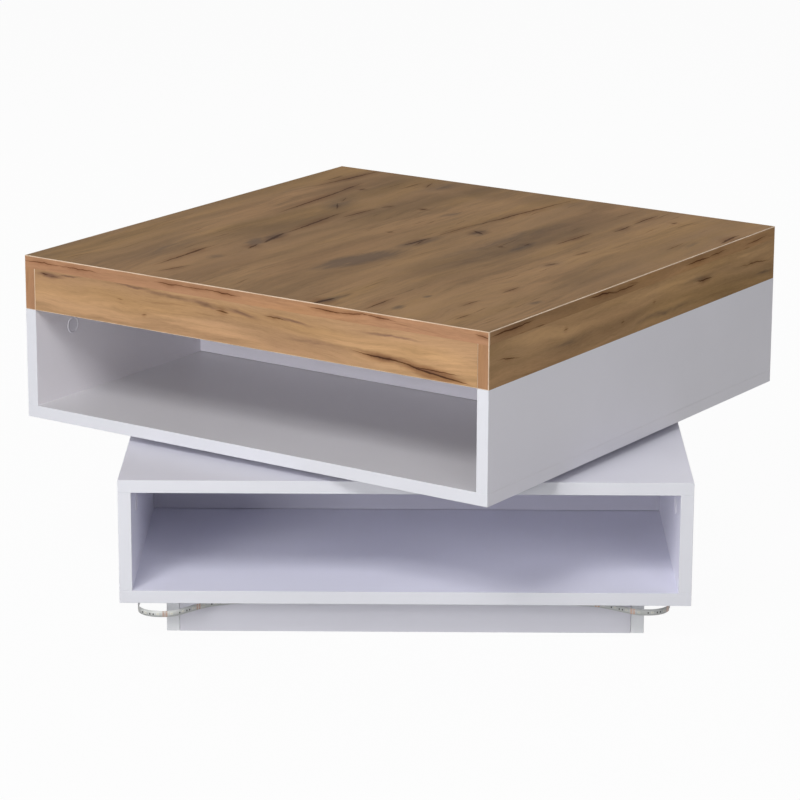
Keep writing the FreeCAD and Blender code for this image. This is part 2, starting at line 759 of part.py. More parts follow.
def build_rollers():
    """The rollers lie along the radius, each in a pocket of the flat cage ring."""
    rollers = new_body("swivel_rollers", "swivel", several=True)
    start = "(roller_circle - roller_length)/2"
    end_face = new_sketch(rollers, "YZ_Plane", "roller_end", start)
    draw_circle(end_face, "0", "swivel_gap/2", ROLLER)
    roller = add_pad(rollers, end_face, "roller_length")
    doc.recompute()
    repeat_round(rollers, roller, "roller_count")
    cage = new_body("roller_cage", "swivel")
    ring = new_sketch(cage, "XY_Plane", "cage_ring", "(swivel_gap - cage_thickness)/2")
    draw_circle(ring, "0", "0", "roller_circle + cage_width")
    draw_circle(ring, "0", "0", "roller_circle - cage_width")
    add_pad(cage, ring, "cage_thickness")
    pocket = new_sketch(cage, "XY_Plane", "pocket", "(swivel_gap + cage_thickness)/2")
    along = "(roller_length/2 + pocket_fit)"
    across = f"({ROLLER}/2 + pocket_fit)"
    draw_rectangle(pocket, (f"roller_circle/2 - {along}", f"roller_circle/2 + {along}"),
                   (f"-{across}", across))
    repeat_round(cage, add_pocket(cage, pocket, "cage_thickness"), "roller_count")


# ---------------------------------------------------------------- export

def check_pieces():
    """Stop if any object failed or any piece has no sound solid."""
    for item in doc.Objects:
        if "Invalid" in item.State or "Error" in item.State:
            raise RuntimeError(f"{item.Label} failed: {item.State}")
    for piece in pieces:
        shape = piece.Shape
        if shape.isNull() or not shape.isValid() or not shape.Solids:
            raise RuntimeError(f"{piece.Label} has no valid solid")


def export_pieces():
    """Write each piece under its own name."""
    os.makedirs("parts", exist_ok=True)
    for piece in pieces:
        piece.Shape.exportStep(os.path.join("parts", piece.Label + ".step"))
    solids = sum(len(piece.Shape.Solids) for piece in pieces)
    print(f"{len(pieces)} named pieces, {solids} solids")


fill_sheet()
build_plinth()
build_light_strip()
build_lower_tier()
build_swivel()
build_upper_tier()
doc.recompute()
check_pieces()
export_pieces()
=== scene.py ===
import json
import math
from collections import namedtuple

import bmesh
import bpy
from mathutils import Matrix, Vector

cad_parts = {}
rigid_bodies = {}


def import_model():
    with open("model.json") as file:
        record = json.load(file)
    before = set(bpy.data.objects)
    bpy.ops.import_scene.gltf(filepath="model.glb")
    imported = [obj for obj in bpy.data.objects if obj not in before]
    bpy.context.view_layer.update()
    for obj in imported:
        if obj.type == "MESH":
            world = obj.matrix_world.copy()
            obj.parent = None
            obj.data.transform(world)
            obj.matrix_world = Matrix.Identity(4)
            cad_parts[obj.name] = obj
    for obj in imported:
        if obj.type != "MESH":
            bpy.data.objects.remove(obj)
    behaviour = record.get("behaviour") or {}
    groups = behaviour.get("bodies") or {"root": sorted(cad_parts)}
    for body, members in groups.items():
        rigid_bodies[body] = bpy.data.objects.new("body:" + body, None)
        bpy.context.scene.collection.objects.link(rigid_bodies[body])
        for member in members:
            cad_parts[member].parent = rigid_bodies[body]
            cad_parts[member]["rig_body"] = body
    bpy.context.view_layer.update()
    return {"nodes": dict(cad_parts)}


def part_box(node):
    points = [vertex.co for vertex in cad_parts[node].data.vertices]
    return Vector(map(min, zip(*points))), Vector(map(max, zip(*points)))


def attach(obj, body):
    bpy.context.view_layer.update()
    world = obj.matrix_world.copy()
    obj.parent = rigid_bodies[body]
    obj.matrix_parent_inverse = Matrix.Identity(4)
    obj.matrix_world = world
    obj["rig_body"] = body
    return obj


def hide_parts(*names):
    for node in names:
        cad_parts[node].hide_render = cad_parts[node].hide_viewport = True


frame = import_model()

# Swivel coffee table, in metres, in the frame of its construction: origin on the floor on the
# swivel's axis, +Z up, the fixed lower tier's front towards -Y. The upper tier rests turned.

REST_TURN = math.radians(-33.8)
MM = 0.001

WHITE_ARRIS = 0.45 * MM     # rounding of a white edge band, which is 0.5 mm thick
WOOD_ARRIS = 0.9 * MM       # rounding of a wood-finish edge band, which is 1 mm thick
EASED = 0.35 * MM           # the small bevel where one board meets another
JOINT_GAP = 0.4 * MM        # open joint at the ends of a plinth board, above and below a divider

NEAR = 0.01 * MM            # how near two levels count as one
MERGE = 0.001 * MM          # how near two corners count as one
FLAT = math.radians(1)      # faces that meet at less than this are one
FACING = 0.9                # a face faces along an axis if its normal has this much of it

nodes = frame["nodes"]


# -------- mesh data and objects

def mesh_data(name, mesh):
    """A finished bmesh as mesh data."""
    data = bpy.data.meshes.new(name)
    mesh.to_mesh(data)
    mesh.free()
    return data


def in_scene(name, data):
    """A new object of the scene."""
    made = bpy.data.objects.new(name, data)
    bpy.context.scene.collection.objects.link(made)
    return made


def evaluated(holder):
    """The plain mesh that an object's modifiers give; the object goes."""
    graph = bpy.context.evaluated_depsgraph_get()
    data = bpy.data.meshes.new_from_object(holder.evaluated_get(graph))
    bpy.data.objects.remove(holder)
    return data


# -------- node trees

class Value:
    """What one output of a node gives, with arithmetic."""

    def __init__(self, maker, socket):
        self.maker = maker
        self.socket = socket

    def math(self, operation, *numbers):
        inputs = dict(enumerate(numbers))
        return self.maker.node("ShaderNodeMath", {"operation": operation}, inputs)

    def __add__(self, other):
        return self.math("ADD", self, other)

    def __radd__(self, other):
        return self.math("ADD", other, self)

    def __sub__(self, other):
        return self.math("SUBTRACT", self, other)

    def __rsub__(self, other):
        return self.math("SUBTRACT", other, self)

    def __mul__(self, other):
        return self.math("MULTIPLY", self, other)

    def __rmul__(self, other):
        return self.math("MULTIPLY", other, self)

    def largest(self, other):
        return self.math("MAXIMUM", self, other)

    def beside(self, name):
        """Another output of the same node."""
        return Value(self.maker, self.socket.node.outputs[name])


class Maker:
    """Adds nodes to a tree: of a finish, of a recipe for pieces or of the room."""

    def __init__(self, tree):
        self.tree = tree
        self.tree.nodes.clear()

    def node(self, kind, settings=None, inputs=None, output=0):
        """Add a node: settings first, then the numbers or links of its sockets."""
        node = self.tree.nodes.new(kind)
        for name, setting in (settings or {}).items():
            if name == "stops":
                self.set_stops(node.color_ramp.elements, setting)
            else:
                setattr(node, name, setting)
        for name, value in (inputs or {}).items():
            for one in value if isinstance(value, list) else [value]:
                if isinstance(one, Value):
                    self.tree.links.new(one.socket, node.inputs[name])
                else:
                    node.inputs[name].default_value = one
        return Value(self, node.outputs[output]) if node.outputs else None

    def set_stops(self, elements, stops):
        """Stops of a colour ramp, as (place, colour) from dark to light."""
        while len(elements) < len(stops):
            elements.new(0.5)
        for element, (place, colour) in zip(elements, stops):
            element.position = place
            element.color = (*colour, 1)

    def join(self, x, y, z=0.0):
        return self.node("ShaderNodeCombineXYZ", inputs={"X": x, "Y": y, "Z": z})


# The Mix node's sockets for a share and two colours, and its output for their mixture.
MIX_SHARE, MIX_FIRST, MIX_SECOND, MIX_COLOUR = 0, 6, 7, 2


class Finish(Maker):
    """A material under construction."""

    def __init__(self, name):
        self.material = bpy.data.materials.new(name)
        self.material.use_nodes = True
        super().__init__(self.material.node_tree)

    def place(self, turn=0.0):
        """Where a point lies on the piece, x, y and z in the frame of its own tier."""
        spot = self.node("ShaderNodeTexCoord", output="Object")
        if turn:
            spot = self.node("ShaderNodeMapping",
                             inputs={"Vector": spot, "Rotation": (0, 0, -turn)})
        return [self.node("ShaderNodeSeparateXYZ", inputs={"Vector": spot}, output=axis)
                for axis in range(3)]

    def noise(self, x, y, z=0.0, detail=2.0, rough=0.5):
        """Smooth noise about 0.5; x, y and z come multiplied by its waves to the metre."""
        return self.node("ShaderNodeTexNoise", inputs={
            "Vector": self.join(x, y, z), "Scale": 1.0, "Detail": detail, "Roughness": rough})

    def step(self, value, low, high):
        """Rises smoothly from 0 at low to 1 at high."""
        return self.node(
            "ShaderNodeMapRange", {"interpolation_type": "SMOOTHSTEP"},
            {"Value": value, "From Min": low, "From Max": high})

    def ramp(self, value, stops):
        return self.node("ShaderNodeValToRGB", {"stops": stops}, {"Fac": value})

    def mix(self, share, first, second, mode="MIX"):
        """Colours: first, going over to second as share rises."""
        return self.node("ShaderNodeMix", {"data_type": "RGBA", "blend_type": mode},
                         {MIX_SHARE: share, MIX_FIRST: first, MIX_SECOND: second},
                         output=MIX_COLOUR)

    def bump(self, height, depth, strength=1.0):
        return self.node("ShaderNodeBump", inputs={"Height": height, "Distance": depth,
                                                   "Strength": strength}, output="Normal")

    def surface(self, **sockets):
        """Finish the material with a Principled surface."""
        names = {name.replace("_", " ").title().replace("Ior", "IOR"): value
                 for name, value in sockets.items()}
        return self.output(self.node("ShaderNodeBsdfPrincipled", inputs=names, output="BSDF"))

    def output(self, shader):
        self.node("ShaderNodeOutputMaterial", None, {"Surface": shader})
        return self.material


class Recipe(Maker):
    """A Geometry Nodes tree with named sizes, baked into a plain mesh."""

    def __init__(self, name, **sizes):
        self.group = bpy.data.node_groups.new(name, "GeometryNodeTree")
        super().__init__(self.group)
        sockets = self.group.interface
        sockets.new_socket("Geometry", in_out="INPUT", socket_type="NodeSocketGeometry")
        sockets.new_socket("Geometry", in_out="OUTPUT", socket_type="NodeSocketGeometry")
        self.sizes = {}
        for label, value in sizes.items():
            socket = sockets.new_socket(label, in_out="INPUT", socket_type="NodeSocketFloat")
            self.sizes[socket.identifier] = value

    def input(self, label):
        return self.node("NodeGroupInput", output=label)

    def coloured(self, geometry, finish):
        return self.node("GeometryNodeSetMaterial", None,
                         {"Geometry": geometry, "Material": finishes[finish]})

    def bake(self, name, start, *parts):
        """Join the parts, run the tree on a starting mesh and return the plain mesh."""
        joined = self.node("GeometryNodeJoinGeometry", None, {"Geometry": list(parts)})
        whole = self.node("GeometryNodeRealizeInstances", None, {"Geometry": joined})
        self.node("NodeGroupOutput", None, {"Geometry": whole})
        holder = in_scene(name, start)
        modifier = holder.modifiers.new("recipe", "NODES")
        modifier.node_group = self.group
        for identifier, value in self.sizes.items():
            modifier[identifier] = value
        data = evaluated(holder)
        data.name = name
        return data


# -------- finishes

def rgb(red, green, blue):
    return (red, green, blue, 1.0)


def shade(colour, factor):
    return tuple(channel * factor for channel in colour)


def melamine(name, colour, turn=0.0, shine=0.36):
    """White laminate: a satin press finish, faintly uneven in tone and gloss."""
    finish = Finish(name)
    x, y, z = finish.place(turn)
    cloud = finish.noise(x * 5.0, y * 5.0, z * 5.0, detail=3.0)
    peel = finish.noise(x * 900.0, y * 900.0, z * 900.0, detail=1.0)
    tone = finish.step(cloud, 0.3, 0.7)
    return finish.surface(
        base_color=finish.mix(tone, rgb(*shade(colour, 0.965)), rgb(*colour)),
        roughness=shine + 0.06 * (cloud - 0.5) + 0.05 * (peel - 0.5),
        normal=finish.bump(peel, 0.00002, 0.5))


def chipboard(name):
    """Raw edge of a board: glued chips of mixed tone."""
    finish = Finish(name)
    x, y, z = finish.place()
    chips = finish.noise(x * 260.0, y * 260.0, z * 420.0, detail=4.0, rough=0.7)
    flakes = finish.noise(x * 90.0, y * 90.0, z * 700.0)
    colour = finish.ramp(chips * 0.6 + flakes * 0.4, (
        (0.3, (0.20, 0.13, 0.07)), (0.5, (0.42, 0.30, 0.18)), (0.68, (0.60, 0.47, 0.31))))
    return finish.surface(base_color=colour, roughness=0.9,
                          normal=finish.bump(chips, 0.0004, 0.8))


# Middle tones of the printed oak decor.
OAK_TOP = (0.252, 0.151, 0.074)
OAK_SIDE = (0.440, 0.270, 0.134)
OAK_FRONT = (0.415, 0.250, 0.133)
OAK_PINK = (0.410, 0.222, 0.122)
OAK_RED = (0.452, 0.262, 0.130)

# Colours that tint it, apart from the first, which covers it.
CRACK = (0.060, 0.034, 0.022)           # in the core of a deep crack
GREY_BROWN = (0.470, 0.510, 0.660)      # where old knots greyed the top
SMOKE_BROWN = (0.430, 0.395, 0.520)     # and the front aprons
RED_BROWN = (0.560, 0.450, 0.400)       # beside a crack
CRACK_BROWN = (0.320, 0.235, 0.190)     # in a shallow one

CRACK_CORE = 0.8            # share of a crack's width that is dark
CRACK_HALO = 6.0            # how much wider the brown beside it is
ZONE_TONES = (0.20, -0.24)  # how much lighter a pale zone is, and a brown one


class Oak(Finish):
    """Printed rustic oak on a face of the upper tier, in layers that share one bent grain."""

    def __init__(self, name, grain, side, seed, fine):
        super().__init__(name)
        place = self.place(REST_TURN)
        across = place[side]
        self.along = place[grain]
        self.seed = seed
        # the grain wanders sideways in long sways, ripples and a fine jitter
        self.sway = self.noise(self.along * 2.6, across * 6.0, seed) - 0.5
        self.ripple = self.noise(self.along * 15.0, across * 22.0, seed + 3.0, detail=3.0) - 0.5
        jitter = self.noise(self.along * 90.0, across * 70.0, seed + 5.0) - 0.5
        self.bent = across + 0.060 * self.sway + 0.010 * self.ripple
        self.wavy = across + 0.009 * self.ripple + 0.0026 * jitter
        # narrow bands, streaks and fibres, lively in some places, and dark wisps
        self.narrow = self.drawn(4.5 * math.sqrt(fine), 42.0 * fine, 9.0, 4.0, 0.55) - 0.5
        self.lively = self.step(self.drawn(4.0, 12.0, 15.0), 0.36, 0.66)
        self.streak = self.drawn(16.0, 200.0, 11.0, 3.0, 0.6) - 0.5
        self.fibre = self.drawn(90.0, 900.0, 13.0) - 0.5
        self.wisp = self.drawn(22.0, 150.0, 31.0, 4.0, 0.6)
        self.ragged = 1.2 * self.narrow + 0.9 * self.streak + 0.6 * self.ripple

    def drawn(self, along, across, layer, detail=2.0, rough=0.5):
        """A layer of noise drawn out along the grain, by its waves to the metre each way."""
        return self.noise(self.along * along, self.bent * across, self.seed + layer,
                          detail, rough)

    def marked(self, across, marks, widen=1.0):
        """How deep in a mark a point lies: 0 outside, the mark's depth on its centre line.

        The marks are spindles, and widen makes all of them wider.
        """
        spot = self.join(self.along, across)
        total = None
        for centre, side, length, width, lean, depth in marks:
            unit = self.node(
                "ShaderNodeMapping", {"vector_type": "TEXTURE"},
                {"Vector": spot, "Location": (centre * MM, side * MM, 0),
                 "Rotation": (0, 0, math.radians(lean)),
                 "Scale": (length * MM / 2, width * widen * MM / 2, 1)})
            near = self.node("ShaderNodeTexGradient", {"gradient_type": "SPHERICAL"},
                             {"Vector": unit}, output="Fac") * depth
            total = near if total is None else total.largest(near)
        return total

    def figure(self, colour, zones, calm):
        """The wood's own colour in bands, streaks and fibres, its hue drifting."""
        wide = self.drawn(1.3, 8.0, 7.0, 3.0) - 0.5
        tone = 0.5 + calm * (1.3 * wide + 0.85 * self.narrow)
        tone = tone + (0.28 + 0.40 * self.lively) * self.streak + 0.30 * self.fibre
        for marks, change in zip(zones, ZONE_TONES):
            if marks:
                depth = self.marked(self.bent, marks) * (1.0 + 2.0 * self.ragged)
                tone = tone + change * self.step(depth, 0.0, 0.7)
        base = self.ramp(tone, (
            (0.12, shade(colour, 0.64)), (0.36, shade(colour, 0.86)), (0.5, colour),
            (0.66, shade(colour, 1.15)), (0.9, shade(colour, 1.36))))
        # from golden to reddish
        hue = self.ramp(self.drawn(2.4, 13.0, 37.0, 3.0), (
            (0.36, (1.02, 1.01, 0.91)), (0.5, (1.0, 1.0, 1.0)), (0.64, (1.0, 0.98, 0.99))))
        return self.mix(1.0, base, hue, "MULTIPLY")

    def clouds(self, smudges):
        """Grey-brown clouds, in long drifts and, with darker wisps, where the smudges are."""
        drift = self.drawn(2.2, 11.0, 17.0, 3.0)
        cloud = self.step(drift + 0.25 * self.ragged, 0.54, 0.82) * 0.5
        if smudges:
            soft = self.marked(self.wavy + 0.02 * self.sway, smudges)
            torn = soft * (2.6 * self.wisp - 0.3 + 1.4 * self.ragged)
            cloud = cloud.largest(self.step(torn, 0.0, 0.85) * 0.9)
        return cloud

    def splits(self, cracks, dashes):
        """Thin dashes in drifts of their own, and the cracks.

        Returns the brown beside them, their own dark and the black of the deepest cores.
        """
        dash = self.step(self.drawn(12.0, 230.0, 19.0), 0.60, 0.74)
        where = self.step(self.drawn(5.0, 22.0, 23.0), 0.48, 0.64)
        crack = dash * where * dashes
        halo = crack * 0.6
        deep = 0.0
        if cracks:
            near = self.marked(self.wavy, cracks, CRACK_CORE) * (2.6 * self.wisp - 0.3)
            around = self.marked(self.wavy, cracks, CRACK_HALO) * (0.35 + self.wisp)
            halo = halo.largest(self.step(around, 0.0, 0.95) * 0.8)
            crack = crack.largest(self.step(near, 0.02, 0.50) * 0.9)
            deep = self.step(near, 0.60, 1.30) * 0.75
        return halo, crack, deep


def oak(name, grain, side, colour, cracks=(), smudges=(), zones=((), ()), seed=0.0,
        calm=1.0, fine=1.0, dashes=0.6, smoke=GREY_BROWN):
    """Printed rustic oak: broad figure, soft streaks along the grain, cracks and old knots.

    grain and side are the axes, 0 to 2, along the grain and across it. zones are the marks
    where the figure turns pale and where it turns brown. calm below 1 quietens the figure,
    fine above 1 narrows its bands, dashes is their depth and smoke the tint of the smudges.
    """
    wood = Oak(name, grain, side, seed, fine)
    shown = wood.figure(colour, zones, calm)
    cloud = wood.clouds(smudges)
    halo, crack, deep = wood.splits(cracks, dashes)
    pores = wood.step(wood.drawn(120.0, 1300.0, 29.0, 1.0), 0.62, 0.76) * wood.lively * 0.16
    shown = wood.mix(cloud, shown, rgb(*smoke), "MULTIPLY")
    shown = wood.mix(halo, shown, rgb(*RED_BROWN), "MULTIPLY")
    shown = wood.mix(crack, shown, rgb(*CRACK_BROWN), "MULTIPLY")
    shown = wood.mix(pores.largest(deep), shown, rgb(*CRACK))
    height = 0.5 * wood.fibre + 0.3 * wood.streak - 0.8 * crack - 0.6 * pores
    return wood.surface(
        base_color=shown,
        roughness=0.60 + 0.12 * wood.streak + 0.10 * crack,
        specular_ior_level=0.03,
        normal=wood.bump(height, 0.00010, 0.5))


def band_core(name):
    """The cut arris of a wood-finish band, where its pale body shows."""
    finish = Finish(name)
    x, y, z = finish.place(REST_TURN)
    drag = finish.noise(x * 40.0, y * 40.0, z * 40.0, detail=3.0)
    colour = finish.mix(finish.step(drag, 0.35, 0.65), rgb(0.58, 0.42, 0.29),
                        rgb(0.72, 0.55, 0.40))
    return finish.surface(base_color=colour, roughness=0.5 + 0.1 * (drag - 0.5))


def zinc(name, colour=(0.62, 0.64, 0.66), dull=0.38):
    """Zinc plating: bright steel, slightly clouded, with drawing lines."""
    finish = Finish(name)
    x, y, z = finish.place()
    cloud = finish.noise(x * 60.0, y * 60.0, z * 60.0, detail=4.0, rough=0.6)
    lines = finish.noise(x * 40.0, y * 1800.0, z * 1800.0)
    return finish.surface(
        base_color=finish.mix(finish.step(cloud, 0.35, 0.65), rgb(*shade(colour, 0.8)),
                              rgb(*colour)),
        metallic=1.0,
        roughness=dull + 0.16 * (cloud - 0.5) + 0.08 * (lines - 0.5),
        normal=finish.bump(lines, 0.00003, 0.4))


def moulded(name, colour, roughness=0.42):
    """Injection-moulded plastic with a fine spark texture."""
    finish = Finish(name)
    x, y, z = finish.place()
    grain = finish.noise(x * 1500.0, y * 1500.0, z * 1500.0)
    cloud = finish.noise(x * 30.0, y * 30.0, z * 30.0)
    return finish.surface(
        base_color=finish.mix(cloud, rgb(*shade(colour, 0.93)), rgb(*colour)),
        roughness=roughness + 0.12 * (grain - 0.5),
        normal=finish.bump(grain, 0.00004, 0.6))


# Marks of the decor, in millimetres in the upper tier's frame: place along the grain, place
# across it, length, width, lean in degrees, depth. On upright faces the place across the grain
# is the height above the floor.
TOP_CRACKS = (
    (140, -244, 250, 6, -5, 1.0), (226, -252, 100, 5, -6, 0.9), (284, -291, 200, 6, 6, 1.1),
    (-144, -142, 40, 7, -16, 0.9), (-84, -150, 90, 8, -11, 1.0), (20, -160, 190, 6, -5, 1.1),
    (103, -147, 100, 5, 4, 0.95), (157, -138, 32, 5, 22, 0.8), (-230, -184, 190, 5, -3, 0.8),
    (-204, -187, 64, 7, -3, 0.95), (-302, -150, 66, 5, 14, 0.8), (-335, 104, 52, 10, 6, 1.2),
    (-300, 109, 60, 4, 8, 0.35), (1, 14, 74, 5, 4, 1.0), (-5, 20, 46, 4, -8, 0.9),
    (90, 19, 130, 4.5, 3, 0.8), (222, 34, 300, 6, 6, 0.85), (170, -89, 18, 6, 10, 1.0),
    (91, 50, 30, 8, -60, 1.1), (131, 172, 104, 5, 2, 0.95), (219, 193, 60, 5, -3, 0.9),
    (286, 191, 84, 5, 0, 0.8), (66, 141, 26, 5, -4, 0.8), (36, 119, 12, 6, 10, 0.8),
    (-157, 258, 50, 5, 0, 0.85), (-246, 255, 56, 4.5, 2, 0.7), (-303, 285, 52, 4, 1, 0.6),
    (-305, 166, 88, 5, -2, 0.75), (-12, 226, 34, 5, 18, 0.6), (65, 226, 50, 4, 3, 0.6),
    (231, -232, 18, 5, -7, 0.9), (27, -45, 14, 5, 6, 0.7), (305, -170, 50, 4, -16, 0.6),
    (120, -196, 60, 4, -34, 0.6), (160, -214, 50, 4, -22, 0.5), (244, 339, 72, 6, -3, 0.95),
    (168, 303, 72, 4, -3, 0.55), (288, 232, 18, 6, 4, 0.6),
)
TOP_SMUDGES = (
    (-128, 12, 200, 58, 11, 1.4), (0, 18, 130, 34, 4, 0.8), (91, 50, 66, 34, -16, 0.8),
    (166, -39, 60, 20, 12, 0.7), (-122, -153, 80, 34, -18, 0.9), (-216, -145, 44, 28, 10, 0.8),
    (-85, -152, 140, 34, -8, 0.7), (50, 142, 110, 36, -4, 0.8), (-195, 316, 40, 16, 10, 0.8),
    (-318, 106, 90, 24, 5, 0.8), (-310, 198, 40, 18, -5, 0.8), (-244, 195, 24, 14, 8, 0.8),
    (-12, 226, 70, 28, 10, 0.5), (305, -148, 130, 44, 8, 0.6), (140, -204, 150, 60, -20, 0.6),
    (76, 108, 560, 84, 4, 0.5), (-40, 132, 320, 60, 6, 0.5), (-220, -225, 260, 70, 0, 0.5),
    (180, 316, 150, 40, -4, 0.5),
)
TOP_PALE = (
    (-8, -262, 600, 60, -10, 0.9), (86, -56, 480, 66, 8, 1.0), (-60, 225, 560, 90, 6, 0.9),
    (-225, 262, 360, 210, 4, 1.5), (-250, -60, 220, 90, 0, 0.6), (260, 240, 220, 60, 2, 0.7),
)
TOP_BROWN = (
    (174, -118, 380, 80, -2, 1.0), (250, -236, 280, 130, -4, 1.2), (48, 121, 620, 96, 3, 1.4),
    (322, -50, 130, 430, 0, 1.0), (10, -192, 330, 100, 3, 1.3),
)
FRONT_CRACKS = (
    (198, 379.2, 100, 2.8, -5, 1.3), (266, 372.2, 132, 3.4, -7, 1.9), (270, 375.5, 96, 2.2, -2, 1.0),
    (-37, 402, 26, 3.4, -7, 0.8), (42, 406, 44, 2.6, -4, 0.6), (-158, 381.8, 12, 2.4, -5, 0.5),
    (-302, 410, 30, 2.0, -6, 0.35), (-318, 412, 20, 2.0, -4, 0.5), (-196, 397, 16, 1.8, 0, 0.4),
)
FRONT_SMUDGES = (
    (-308, 411, 74, 14, -3, 0.8), (-275, 414, 70, 4, 2, 0.9), (-175, 416, 90, 7, 1, 0.7),
    (-118, 411.5, 130, 10, -4, 0.7), (-62, 408, 100, 13, -6, 0.7), (-10, 405, 110, 13, -5, 0.65),
    (66, 408, 130, 7, -3, 0.6), (104, 385, 190, 18, -1, 0.5), (210, 409, 130, 6, -2, 0.7),
    (240, 378, 190, 12, -6, 0.7),
)
FRONT_PALE = (
    (-250, 378, 240, 34, 0, 0.9), (-60, 380, 220, 30, -3, 0.7), (300, 396, 120, 22, -3, 1.0),
    (150, 398, 160, 12, -3, 0.7),
)
FRONT_BAND_CRACKS = (
    (-322, 426.6, 90, 2.0, 1, 0.8), (-268, 427.0, 90, 2.2, -1, 0.8), (-114, 426.6, 66, 2.4, -2, 0.9),
    (-73, 426.7, 74, 2.0, 2, 0.9), (-34, 427.0, 66, 2.2, -2, 0.9), (119, 426.2, 74, 2.2, -2, 0.9),
    (160, 426.6, 66, 2.0, 3, 0.9), (195, 426.8, 60, 2.0, -3, 0.9), (342, 426, 30, 2.0, -9, 1.0),
)
SIDE_BAND_CRACKS = (
    (-298, 426.5, 120, 3.4, 0, 0.95), (-90, 426.7, 90, 3.2, -3, 0.9), (-48, 424.4, 90, 2.6, 0, 0.75),
    (144, 424.4, 80, 3.2, 1, 0.9), (194, 425.4, 60, 2.6, 1, 0.85), (302, 423, 100, 2.4, 2, 0.6),
)
SIDE_BAND_BROWN = (
    (-260, 425, 300, 16, 0, 0.6), (160, 425, 300, 16, 0, 0.5),
)
SIDE_CRACKS = (
    (161, 397.6, 50, 3.0, -2, 0.9), (298, 393, 110, 2.4, -5, 0.6), (-179, 401, 16, 3, 4, 0.55),
    (-44, 383, 14, 3, 5, 0.45), (33, 392, 14, 3, 0, 0.45), (-308, 392, 70, 2.4, -7, 0.6),
)
SIDE_SMUDGES = (
    (-176, 385, 220, 14, 0, 0.5), (150, 400, 110, 14, -3, 0.6), (321, 375, 80, 8, 1, 0.7),
    (60, 372, 260, 14, 0, 0.6),
)
SIDE_PALE = (
    (-230, 404, 260, 16, -3, 1.0), (60, 404, 300, 14, -2, 0.9), (290, 404, 140, 12, -3, 0.7),
)
SIDE_BROWN = (
    (-60, 384, 420, 24, 0, 0.9), (220, 378, 260, 20, 0, 0.7),
)

WHITE = (0.800, 0.785, 0.840)
BAND_WHITE = (0.700, 0.705, 0.750)

# Each white laminate has a faint tint of its own. Those inside the bays and on the plinth are
# also made lighter or darker than the rest, as painted light and painted shade.
finishes = {
    "upper_white": melamine("upper_white_melamine", WHITE, REST_TURN),
    "lower_white": melamine("lower_white_melamine", (0.795, 0.795, 0.880)),
    # painted light: the upper divider is lighter than the other whites
    "upper_inside": melamine("upper_divider_painted_light_melamine", (0.905, 0.885, 0.975), REST_TURN),
    # painted light: the inner faces of the upper walls are lighter than the other whites
    "upper_wall_inside": melamine("upper_wall_painted_light_melamine", (0.850, 0.825, 0.865), REST_TURN),
    # painted shade: the floor of the upper bay is darker than the other whites
    "upper_floor": melamine("upper_floor_painted_shade_melamine", (0.675, 0.665, 0.690), REST_TURN),
    # painted shade: the lower divider, deep in its bay, is darker than the other whites
    "lower_inside": melamine("lower_divider_painted_shade_melamine", (0.720, 0.710, 0.810)),
    # painted light: the inner faces of the lower walls are lighter than the other whites
    "lower_wall_inside": melamine("lower_wall_painted_light_melamine", (0.890, 0.885, 0.980)),
    # painted light: the floor of the lower bay is lighter than the lower tier's white
    "lower_floor": melamine("lower_floor_painted_light_melamine", (0.850, 0.850, 0.965)),
    # painted shade: the plinth, under the lower tier's overhang, is darker than the other whites
    "plinth_white": melamine("plinth_painted_shade_melamine", (0.755, 0.750, 0.810)),
    "plinth_band": melamine("plinth_white_band", (0.860, 0.875, 0.890), 0.0, 0.30),
    "upper_band": melamine("upper_white_band", BAND_WHITE, REST_TURN, 0.30),
    "lower_band": melamine("lower_white_band", BAND_WHITE, 0.0, 0.30),
    "chipboard": chipboard("raw_chipboard"),
    "top_oak": oak("top_oak_decor", 1, 0, OAK_TOP, TOP_CRACKS, TOP_SMUDGES,
                   (TOP_PALE, TOP_BROWN), 2.0),
    "side_oak": oak("side_oak_decor", 1, 2, OAK_SIDE, SIDE_CRACKS, SIDE_SMUDGES,
                    (SIDE_PALE, SIDE_BROWN), 41.0, fine=2.0),
    "front_oak": oak("front_oak_decor", 0, 2, OAK_FRONT, FRONT_CRACKS, FRONT_SMUDGES,
                     (FRONT_PALE, ()), 61.0, calm=0.8, fine=2.6, dashes=0.2, smoke=SMOKE_BROWN),
    "front_band_oak": oak("front_band_decor", 0, 2, OAK_PINK, FRONT_BAND_CRACKS, seed=81.0,
                          calm=0.5, fine=2.0, dashes=0.3),
    "side_band_oak": oak("side_band_decor", 1, 2, OAK_RED, SIDE_BAND_CRACKS,
                         zones=((), SIDE_BAND_BROWN), seed=101.0, calm=0.6, fine=2.0),
    "end_band_oak": oak("end_band_decor", 2, 0, shade(OAK_PINK, 0.88), seed=121.0, calm=0.4),
    "band_core": band_core("pale_band_core"),
    "zinc": zinc("zinc_plated_steel"),
    "steel": zinc("ground_steel", (0.70, 0.70, 0.71), 0.22),
    "cam_zinc": zinc("die_cast_zinc", (0.55, 0.56, 0.58), 0.5),
    "cap": moulded("white_cap_plastic", WHITE),
    "cage": moulded("black_cage_plastic", (0.03, 0.03, 0.033)),
    "foil": moulded("strip_foil", (0.56, 0.57, 0.55), 0.35),
    "lamp_case": moulded("lamp_case", (0.72, 0.72, 0.68), 0.3),
    "lamp_gel": moulded("lamp_gel", (0.66, 0.65, 0.56), 0.25),
    "chip": moulded("chip_resistor", (0.03, 0.03, 0.03), 0.5),
    "copper": zinc("copper_pad", (0.52, 0.35, 0.28), 0.5),
}


# -------- meshes

def turn_of(node):
    """How far the body that carries a node rests turned about the swivel's axis."""
    return REST_TURN if nodes[node]["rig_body"] == "upper_tier" else 0.0


